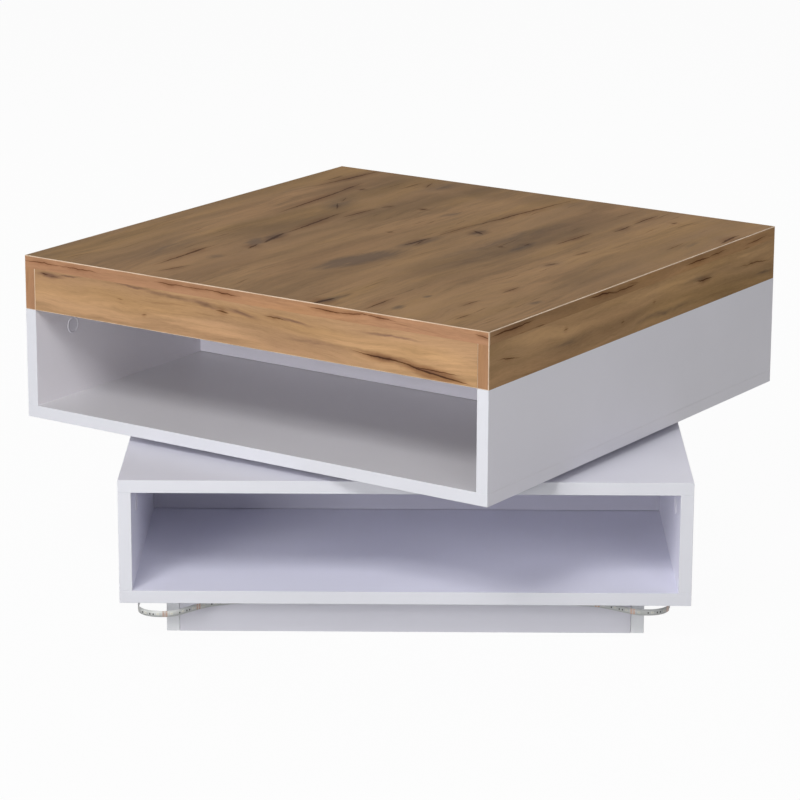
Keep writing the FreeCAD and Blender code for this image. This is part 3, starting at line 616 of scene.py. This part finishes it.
def solids_of(node):
    """The corner points of each solid of a node: one ends where its surface has closed."""
    back = Matrix.Rotation(-turn_of(node), 4, "Z")
    data = nodes[node].data
    found, corners, open_edges = [], [], set()
    for polygon in data.polygons:
        ring = [tuple(round(number, 6) for number in data.vertices[index].co)
                for index in polygon.vertices]
        for start, end in zip(ring, ring[1:] + ring[:1]):
            if (end, start) in open_edges:
                open_edges.remove((end, start))
            else:
                open_edges.add((start, end))
        corners += [back @ Vector(point) for point in ring]
        if not open_edges:
            found.append(corners)
            corners = []
    return found


def extent(points):
    """Lowest and highest corner of some points."""
    return (Vector(min(p[k] for p in points) for k in range(3)),
            Vector(max(p[k] for p in points) for k in range(3)))


def thin_axis(low, high):
    """The axis, 0 to 2, along which a board or band is thinnest."""
    return min(range(3), key=lambda k: high[k] - low[k])


def long_axis(edge):
    """The axis, 0 to 2, along which an edge runs."""
    run = edge.verts[1].co - edge.verts[0].co
    return max(range(3), key=lambda k: abs(run[k]))


def add_block(mesh, low, high):
    """A plain block in a bmesh."""
    size, middle = high - low, (high + low) / 2
    place = Matrix.Translation(middle) @ Matrix.Diagonal((*size, 1))
    bmesh.ops.create_cube(mesh, size=1.0, matrix=place)


def seat(name, data, node, materials=()):
    """Turn mesh data built in its tier's frame with the tier; it rides in place of a node."""
    data.transform(Matrix.Rotation(turn_of(node), 4, "Z"))
    data.update()
    for material in materials:
        data.materials.append(material)
    piece = in_scene(name, data)
    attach(piece, nodes[node]["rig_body"])
    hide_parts(node)


def board(node, face_finish, eased="", gap=("x", 0.0), inside=None):
    """A faced board: laminate on its two broad sides, raw chipboard on edges and in holes.

    eased names the axes along which a plain board's edges get a small bevel, where it meets
    other boards. gap is the axis along which the joints at its ends stand open, and by how
    much. inside is the finish of the side turned to the table's middle, where that differs.
    """
    mesh = bmesh.new()
    mesh.from_mesh(nodes[node].data)
    mesh.transform(Matrix.Rotation(-turn_of(node), 4, "Z"))
    bmesh.ops.remove_doubles(mesh, verts=mesh.verts, dist=MERGE)
    bmesh.ops.dissolve_limit(mesh, angle_limit=FLAT, verts=mesh.verts, edges=mesh.edges)
    mesh.normal_update()
    low, high = extent([vert.co for vert in mesh.verts])
    thin = thin_axis(low, high)
    axis = "xyz".index(gap[0])
    for vert in mesh.verts:
        if min(vert.co[axis] - low[axis], high[axis] - vert.co[axis]) < EASED:
            vert.co[axis] -= math.copysign(gap[1], vert.co[axis] - (low + high)[axis] / 2)
    for face in mesh.faces:
        face.smooth = False
        depth = face.calc_center_median()[thin]
        outside = min(abs(depth - low[thin]), abs(depth - high[thin])) < NEAR
        face.material_index = 0 if abs(face.normal[thin]) > FACING and outside else 1
        if inside and face.material_index == 0 and face.normal[thin] * (low + high)[thin] < 0:
            face.material_index = 2
    if len(mesh.faces) == 6:
        edges = [edge for edge in mesh.edges if "xyz"[long_axis(edge)] in eased]
        bmesh.ops.bevel(mesh, geom=edges, offset=EASED, segments=2, profile=0.5,
                        affect="EDGES", material=0)
    name = node + "_faced"
    used = [face_finish, "chipboard"] + ([inside] if inside else [])
    seat(name, mesh_data(name, mesh), node, [finishes[finish] for finish in used])


apron_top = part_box("top_panel")[0][2]     # where the table top lies on the aprons


def bands(node, arris, choose):
    """Edge bands with a rounded arris; choose gives a band's finish by the axis it faces."""
    mesh = bmesh.new()
    used = []
    solids = [extent(points) for points in solids_of(node)]
    ends = extent([corner for solid in solids for corner in solid])
    for low, high in solids:
        thin = thin_axis(low, high)
        # a band's outer face is the one turned away from the boards' middle
        outward = 1 if (low + high)[thin] > (ends[0] + ends[1])[thin] else -1
        face_finish = choose(thin)
        body_finish = "band_core" if arris == WOOD_ARRIS else face_finish
        for finish in (face_finish, body_finish):
            if finish not in used:
                used.append(finish)
        own = bmesh.new()
        add_block(own, low, high)
        for face in own.faces:
            face.material_index = used.index(body_finish)
        outer = next(face for face in own.faces if face.normal[thin] * outward > FACING)
        outer.material_index = used.index(face_finish)
        # no arris is rounded where a band meets another one under the table top
        free = [edge for edge in outer.edges
                if any(abs(vert.co.z - apron_top) > NEAR for vert in edge.verts)]
        bmesh.ops.bevel(own, geom=free, offset=arris, segments=3, profile=0.5,
                        affect="EDGES", material=used.index(body_finish))
        part = mesh_data("band", own)
        mesh.from_mesh(part)
        bpy.data.meshes.remove(part)
    name = node + "_rounded"
    seat(name, mesh_data(name, mesh), node, [finishes[finish] for finish in used])


# -------- boards and bands

for side, joint in (("left", 0.0), ("right", 0.0), ("front", JOINT_GAP), ("back", JOINT_GAP)):
    board(f"plinth_{side}_board", "plinth_white", "z", ("x", joint))
for tier in ("lower", "upper"):
    for side in ("left", "right"):
        board(f"{tier}_{side}_wall", tier + "_white", "y",
              inside=tier + "_wall_inside")
    board(f"{tier}_divider", tier + "_inside", "xz", ("z", JOINT_GAP))
board("upper_bottom_panel", "upper_floor", inside="upper_white")
board("lower_bottom_panel", "lower_floor", inside="lower_white")
board("lower_top_panel", "lower_white")
for side in ("left", "right"):
    board("apron_" + side, "side_oak", "y")
for side in ("front", "back"):
    board("apron_" + side, "front_oak", "z")
board("top_panel", "top_oak", inside="upper_white")

bands("plinth_edge_bands", WHITE_ARRIS, lambda axis: "plinth_band")
for tier in ("lower", "upper"):
    bands(tier + "_edge_bands", WHITE_ARRIS,
          lambda axis: tier + ("_white" if axis == 0 else "_band"))
bands("top_edge_bands", WOOD_ARRIS,
      lambda axis: "front_band_oak" if axis == 1 else "side_band_oak")
bands("apron_edge_bands", WOOD_ARRIS,
      lambda axis: "front_oak" if axis == 2 else "end_band_oak")


# -------- turned fittings

SCREW_SIDES = 20
CAP_SIDES = 40
THREAD_ROOT = 0.72          # radius between the threads, in shank radii
THREAD_PITCH = 0.84         # and from one thread to the next
THREAD_CREST = 0.4          # from a thread's start to its crest, in pitches
THREAD_FOOT = 0.8           # and to its end
SCREW_TIP = 2.0             # length of the tip, in shank radii
SLOT_HALVES = (0.11, 0.62)  # half the width and half the length of the cross, in head radii
SLOT_FLOOR = 0.35           # height of its floor, in head heights
SLENDER = 1.5               # a fitting is long if its length is this much of its width

# Outlines from the axis outwards, in radii and heights of the fitting.
HEAD_OUTLINE = ((0, 1), (0.62, 1), (0.88, 0.8), (1, 0.33), (1, 0))
CAP_OUTLINE = ((0, 0), (1, 0), (1, 0.4), (0.965, 0.85), (0.93, 1), (0.90, 1), (0.84, 0.35),
               (0, 0.35))

# How a turned fitting stands: the middle of its wider end, the direction to its other end, the
# wider radius, the height of the step, the narrower radius and the whole length.
Stand = namedtuple("Stand", "at drive radius step narrow length")


def turned(profile, sides):
    """A bmesh turned about Z from (radius, height) pairs that start and end on the axis."""
    mesh = bmesh.new()
    verts = [mesh.verts.new((radius, 0, height)) for radius, height in profile]
    edges = [mesh.edges.new(pair) for pair in zip(verts, verts[1:])]
    bmesh.ops.spin(mesh, geom=verts + edges, axis=(0, 0, 1), cent=(0, 0, 0),
                   angle=2 * math.pi, steps=sides)
    bmesh.ops.remove_doubles(mesh, verts=mesh.verts, dist=MERGE)
    bmesh.ops.recalc_face_normals(mesh, faces=mesh.faces)
    return mesh


def screw_template(head_radius, head_height, shank_radius, length):
    """A cross-head screw, driven along +Z, with the underside of its head at zero."""
    root = THREAD_ROOT * shank_radius
    pitch = THREAD_PITCH * shank_radius
    tip = SCREW_TIP * shank_radius
    profile = [(out * head_radius, -up * head_height) for out, up in HEAD_OUTLINE]
    profile.append((root, 0))
    for turn in range(1, int((length - tip) / pitch)):
        start = turn * pitch
        profile += [(root, start), (shank_radius, start + THREAD_CREST * pitch),
                    (root, start + THREAD_FOOT * pitch)]
    profile += [(root, length - tip), (0, length)]
    # the cutter of the cross starts well above the head
    cross = bmesh.new()
    for across, along in (SLOT_HALVES, SLOT_HALVES[::-1]):
        corner = Vector((across * head_radius, along * head_radius, -SLOT_FLOOR * head_height))
        add_block(cross, Vector((-corner.x, -corner.y, -2 * head_height)), corner)
    return carve(turned(profile, SCREW_SIDES), cross, "screw")


def carve(body, cutter, name):
    """The first bmesh less the second, as mesh data."""
    holders = [in_scene(name, mesh_data(name, mesh)) for mesh in (body, cutter)]
    cut = holders[0].modifiers.new("cut", "BOOLEAN")
    cut.operation = "DIFFERENCE"
    cut.solver = "EXACT"
    cut.use_self = True
    cut.object = holders[1]
    data = evaluated(holders[0])
    bpy.data.objects.remove(holders[1])
    return data


def cap_template(radius, thickness):
    """A pressed-in cap: a shallow dish inside a rounded rim."""
    profile = [(out * radius, up * thickness) for out, up in CAP_OUTLINE]
    return mesh_data("cap", turned(profile, CAP_SIDES))


def stand_of(points):
    """How a fitting stands whose solid has these corner points."""
    low, high = extent(points)
    spans = high - low
    # a long one lies along its longest side, a flat one along its shortest
    axis = max(range(3), key=lambda k: spans[k])
    if spans[axis] < SLENDER * sorted(spans)[1]:
        axis = thin_axis(low, high)
    middle = (low + high) / 2
    others = [k for k in range(3) if k != axis]

    def radius_at(level):
        return max(math.hypot(*(p[k] - middle[k] for k in others))
                   for p in points if abs(p[axis] - level) < NEAR)

    levels = sorted({round(p[axis], 5) for p in points})
    wide_low = radius_at(levels[0]) >= radius_at(levels[-1])
    head, end = (levels[0], levels[-1]) if wide_low else (levels[-1], levels[0])
    step = levels[1] if wide_low else levels[-2]
    at = middle.copy()
    at[axis] = head
    drive = Vector((0, 0, 0))
    drive[axis] = 1 if wide_low else -1
    return Stand(at, drive, radius_at(head), abs(step - head), radius_at(end), abs(end - head))


def instances(node, template, finish, at, drives):
    """Stand a template at each point, its own +Z along a direction, in place of a node."""
    start = bpy.data.meshes.new("points")
    start.from_pydata([tuple(point) for point in at], [], [])
    drive = start.attributes.new("drive", "FLOAT_VECTOR", "POINT")
    for entry, direction in zip(drive.data, drives):
        entry.vector = direction
    holder = bpy.data.objects.new("template", template)
    recipe = Recipe("fittings", Scale=1.0)
    direction = recipe.node("GeometryNodeInputNamedAttribute", {"data_type": "FLOAT_VECTOR"},
                            {"Name": "drive"})
    turn = recipe.node("FunctionNodeAlignRotationToVector", {"axis": "Z"}, {"Vector": direction})
    one = recipe.node("GeometryNodeObjectInfo", None, {"Object": holder}, output="Geometry")
    placed = recipe.node("GeometryNodeInstanceOnPoints", None,
                         {"Points": recipe.input("Geometry"), "Instance": one, "Rotation": turn,
                          "Scale": recipe.input("Scale")})
    data = recipe.bake(node + "_turned", start, recipe.coloured(placed, finish))
    bpy.data.objects.remove(holder)
    seat(node + "_turned", data, node)


def screws(node):
    """Cross-head screws in place of a node's plain ones."""
    stands = [stand_of(points) for points in solids_of(node)]
    first = stands[0]
    template = screw_template(first.radius, first.step, first.narrow, first.length - first.step)
    at = [stand.at + stand.drive * first.step for stand in stands]
    instances(node, template, "zinc", at, [stand.drive for stand in stands])


def caps(node):
    """Cam caps with a rounded rim, their flat backs on the wall."""
    stands = [stand_of(points) for points in solids_of(node)]
    inwards = [Vector((-math.copysign(1, stand.at.x), 0, 0)) for stand in stands]
    at = [stand.at if stand.drive.dot(inward) > 0 else stand.at + stand.drive * stand.length
          for stand, inward in zip(stands, inwards)]
    template = cap_template(stands[0].radius, stands[0].length)
    instances(node, template, "cap", at, inwards)


for node in ("plinth_bracket_screws", "apron_bracket_screws", "swivel_lower_screws",
             "swivel_upper_screws", "lower_assembly_screws", "upper_assembly_screws"):
    screws(node)
for node in ("lower_cam_caps", "upper_cam_caps"):
    caps(node)


# -------- light strip

STRIP_RELEASE = 65 * MM     # plinth corner to where the strip leaves the board
STRIP_SHOULDER = 11.5 * MM  # plinth corner to where it turns back to the board
STRIP_BULGE = {-1: 33 * MM, 1: 30 * MM}     # stand-off beside the left and the right corners
STRIP_SWING = 37 * MM       # stand-off in front of and behind the corners
STRIP_LEAN = 16 * MM        # more of it in front of the front left corner
STRIP_BEND = 28 * MM        # bend radius round a corner
STRIP_EASE = 90 * MM        # bend radius where the strip leaves a board
CORNER_SHARE = 0.72         # the most that a corner's bend takes of a run
SHOULDER_SHARE = 0.27       # and those at its shoulders
RELEASE_SHARE = 0.7         # and those where the strip leaves a board
STRIP_GAP = 12 * MM         # between the strip's ends, at the middle of the back
STRIP_PITCH = 50 * MM       # from one pair of cutting pads to the next
STRIP_PHASE = 41.5 * MM     # from the strip's start to the first pair
BEND_STEPS = 10             # points on each bend
FOIL = 0.3 * MM
FOIL_STANDOFF = 0.17 * MM   # middle of the foil, off the board

# What sits on the foil, in millimetres: finish, places along each pitch, heights above the
# foil's middle, then thickness, length and height of one, and how far it stands off the foil.
STRIP_CHIPS = (
    ("lamp_case", (8, 24.7, 41.3), (0,), (0.55, 3.5, 2.8), 0),
    ("lamp_gel", (8, 24.7, 41.3), (0,), (0.06, 2.5, 1.9), 0.55),
    ("chip", (19.5, 31.0, 35.5), (-0.6,), (0.4, 1.3, 2.0), 0),
    ("copper", (-1.8, 1.8), (-2.7, -0.9, 0.9, 2.7), (0.05, 2.6, 1.3), 0),
)

# The Trim Curve node's sockets for its ends as lengths.
TRIM_START, TRIM_END = 4, 5


def strip_route():
    """The strip's corners from the gap at the back round the plinth, and their bend radii."""
    low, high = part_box("plinth_left_board")[0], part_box("plinth_right_board")[1]
    plinth_half = (high[0] - low[0]) / 2
    half = plinth_half + FOIL_STANDOFF
    release = plinth_half - STRIP_RELEASE
    shoulder = plinth_half - STRIP_SHOULDER
    corners = [(-STRIP_GAP / 2, half, 0, 0)]
    for x_side, y_side in ((-1, 1), (-1, -1), (1, -1), (1, 1)):
        lean = STRIP_LEAN if (x_side, y_side) == (-1, -1) else 0
        out_x = half + STRIP_BULGE[x_side]
        out_y = half + STRIP_SWING + lean
        corner = [(half, release, STRIP_EASE, RELEASE_SHARE),
                  (out_x, plinth_half, STRIP_BEND, SHOULDER_SHARE),
                  (out_x, out_y, STRIP_BEND, CORNER_SHARE),
                  (shoulder, out_y, STRIP_BEND, SHOULDER_SHARE),
                  (release, half, STRIP_EASE, RELEASE_SHARE)]
        if x_side * y_side < 0:
            corner.reverse()
        corners += [(x_side * x, y_side * y, bend, share) for x, y, bend, share in corner]
    corners.append((STRIP_GAP / 2, half, 0, 0))
    points = [Vector(corner[:2]) for corner in corners]
    radii = [0.0]
    for last, point, ahead, corner in zip(points, points[1:], points[2:], corners[1:]):
        runs = last - point, ahead - point
        reach = math.tan((math.pi - runs[0].angle(runs[1])) / 2)
        room = corner[3] * min(run.length for run in runs)
        radii.append(min(corner[2] * reach, room) / reach)
    return points, radii + [0.0]


def strip_length(points, radii):
    """Length of the route with its corners rounded."""
    length = sum((ahead - point).length for point, ahead in zip(points, points[1:]))
    for last, point, ahead, radius in zip(points, points[1:], points[2:], radii[1:]):
        turn = (point - last).angle(ahead - point)
        length -= radius * (2 * math.tan(turn / 2) - turn)
    return length


def light_strip():
    """A lamp strip on edge: foil, lamps, chip resistors in pairs and copper cutting pads."""
    low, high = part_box("light_strip")
    middle = (low[2] + high[2]) / 2
    points, radii = strip_route()
    repeats = int((strip_length(points, radii) - STRIP_PHASE) / STRIP_PITCH) - 1
    start = bpy.data.meshes.new("strip_route")
    start.from_pydata([(*point, middle) for point in points],
                      [(k, k + 1) for k in range(len(points) - 1)], [])
    bends = start.attributes.new("bend", "FLOAT", "POINT")
    for entry, radius in zip(bends.data, radii):
        entry.value = radius
    recipe = Recipe("light_strip", Width=high[2] - low[2], Foil=FOIL)
    line = recipe.node("GeometryNodeMeshToCurve", None, {"Mesh": recipe.input("Geometry")})
    bend = recipe.node("GeometryNodeInputNamedAttribute", {"data_type": "FLOAT"},
                       {"Name": "bend"})
    line = recipe.node("GeometryNodeFilletCurve", {"mode": "POLY"},
                       {"Curve": line, "Count": BEND_STEPS, "Radius": bend})
    line = recipe.node("GeometryNodeSetCurveNormal", {"mode": "Z_UP"}, {"Curve": line})
    section = recipe.node("GeometryNodeCurvePrimitiveQuadrilateral", None,
                          {"Width": recipe.input("Foil"), "Height": recipe.input("Width")})
    foil = recipe.node("GeometryNodeCurveToMesh", None,
                       {"Curve": line, "Profile Curve": section, "Fill Caps": True})
    parts = [recipe.coloured(foil, "foil")]
    for finish, phases, lifts, size, proud in STRIP_CHIPS:
        for phase in phases:
            for lift in lifts:
                chips = chips_along(recipe, line, repeats, phase, lift, size, proud)
                parts.append(recipe.coloured(chips, finish))
    data = recipe.bake("light_strip_built", start, *parts)
    seat("light_strip_built", data, "light_strip")


def chips_along(recipe, line, repeats, phase, lift, size, proud):
    """Blocks at every pitch of the strip, from a phase on; all in millimetres."""
    thickness, length, height = (number * MM for number in size)
    start = STRIP_PHASE + phase * MM
    end = start + repeats * STRIP_PITCH
    cut = recipe.node("GeometryNodeTrimCurve", {"mode": "LENGTH"},
                      {"Curve": line, TRIM_START: start, TRIM_END: end})
    spots = recipe.node("GeometryNodeCurveToPoints", {"mode": "COUNT"},
                        {"Curve": cut, "Count": repeats + 1})
    turn = recipe.node("FunctionNodeAxesToRotation", {"primary_axis": "Z", "secondary_axis": "X"},
                       {"Primary Axis": (0, 0, 1), "Secondary Axis": spots.beside("Normal")})
    out = FOIL / 2 + proud * MM + thickness / 2
    block = recipe.node("GeometryNodeMeshCube", None, {"Size": (thickness, length, height)})
    block = recipe.node("GeometryNodeTransform", None,
                        {"Geometry": block, "Translation": (out, 0, lift * MM)})
    return recipe.node("GeometryNodeInstanceOnPoints", None,
                       {"Points": spots, "Instance": block, "Rotation": turn})


light_strip()


# -------- fittings that stay as built

for node, finish in (
        ("plinth_brackets", "zinc"), ("apron_brackets", "zinc"),
        ("swivel_lower_plate", "zinc"), ("swivel_upper_plate", "zinc"),
        ("swivel_rollers", "steel"), ("roller_cage", "cage"),
        ("lower_cam_bolts", "zinc"), ("upper_cam_bolts", "zinc"),
        ("lower_cams", "cam_zinc"), ("upper_cams", "cam_zinc")):
    for material_slot in nodes[node].material_slots:
        material_slot.material = finishes[finish]


# -------- light and camera

AMBIENT = 0.20              # share of its white that the room sheds on the table
FLOOR_COLOUR = (0.60, 0.60, 0.61)
FLOOR_GLOW = 0.96           # share of plain white that the camera sees on the floor
FLOOR_HALF = 12.0
FLOOR_DROP = 0.5 * MM       # below the plinth, so that the two don't flicker
LAMP_AIM = Vector((0, 0, 0.25))
LAMP_DISTANCE = 3.8
LAMP_SIDE = 1.1
# name, degrees to the right of the front, degrees up, light on a surface that faces the lamp
LAMPS = (
    ("key_softbox", -21, 42, 0.38),
    ("low_left_softbox", -31, 13.5, 0.305),
    ("right_softbox", 20, 28, 0.140),
    ("back_right_softbox", 150, 40, 0.18),
    ("back_left_softbox", -150, 40, 0.18),
)

CAMERA_LENS = 151.66        # millimetres, on a sensor this wide
CAMERA_SENSOR = 36.0
CAMERA_PLACE = (0.0119, -4.2645, 1.3857)
CAMERA_ANGLES = (15.315, 0.282, 0.224)      # degrees: down, to the left, roll


def rays(maker, *kinds):
    """1 for light rays of the given kinds, 0 for all others."""
    found = maker.node("ShaderNodeLightPath", output=kinds[0])
    for kind in kinds[1:]:
        found = found.largest(rays(maker, kind))
    return found


def room():
    """A room that is white to look at and lights the table dimly."""
    world = bpy.data.worlds.new("room")
    world.use_nodes = True
    bpy.context.scene.world = world
    maker = Maker(world.node_tree)
    seen = rays(maker, "Is Camera Ray", "Is Glossy Ray")
    background = maker.node("ShaderNodeBackground", None, {
        "Color": rgb(1, 1, 1), "Strength": AMBIENT + (1.0 - AMBIENT) * seen})
    maker.node("ShaderNodeOutputWorld", None, {"Surface": background})


def pale_floor():
    """A floor that is nearly white to look at and keeps the table's shadow."""
    finish = Finish("pale_floor")
    paint = finish.node("ShaderNodeBsdfDiffuse", None, {"Color": rgb(*FLOOR_COLOUR)})
    glow = finish.node("ShaderNodeEmission", None, {"Color": rgb(1, 1, 1), "Strength": 1.0})
    seen = rays(finish, "Is Camera Ray", "Is Glossy Ray", "Is Transmission Ray")
    finish.output(finish.node("ShaderNodeMixShader", None,
                              {0: seen * FLOOR_GLOW, 1: paint, 2: glow}))
    mesh = bmesh.new()
    bmesh.ops.create_grid(mesh, x_segments=1, y_segments=1, size=FLOOR_HALF)
    floor = in_scene("floor", mesh_data("floor", mesh))
    floor.data.materials.append(finish.material)
    floor.location.z = -FLOOR_DROP


def lamp(name, azimuth, elevation, brightness):
    """A square softbox that faces the table."""
    light = bpy.data.lights.new(name, "AREA")
    light.shape = "SQUARE"
    light.size = LAMP_SIDE
    light.energy = brightness * (math.pi * LAMP_DISTANCE) ** 2
    across, up = math.radians(azimuth), math.radians(elevation)
    towards = Vector((math.sin(across) * math.cos(up), -math.cos(across) * math.cos(up),
                      math.sin(up)))
    holder = in_scene(name, light)
    holder.visible_camera = False
    holder.location = LAMP_AIM + towards * LAMP_DISTANCE
    holder.rotation_euler = (-towards).to_track_quat("-Z", "Y").to_euler()


def camera():
    """The camera in front of the fixed tier, looking down on the table."""
    data = bpy.data.cameras.new("camera")
    data.sensor_width = CAMERA_SENSOR
    data.lens = CAMERA_LENS
    data.clip_end = 50.0
    holder = in_scene("camera", data)
    holder.location = CAMERA_PLACE
    pitch, yaw, roll = (math.radians(angle) for angle in CAMERA_ANGLES)
    turn = Matrix.Rotation(yaw, 3, "Z") @ Matrix.Rotation(math.pi / 2 - pitch, 3, "X")
    holder.rotation_euler = (turn @ Matrix.Rotation(roll, 3, "Z")).to_euler()
    bpy.context.scene.camera = holder


bpy.context.scene.view_settings.view_transform = "Standard"
room()
pale_floor()
for settings in LAMPS:
    lamp(*settings)
camera()
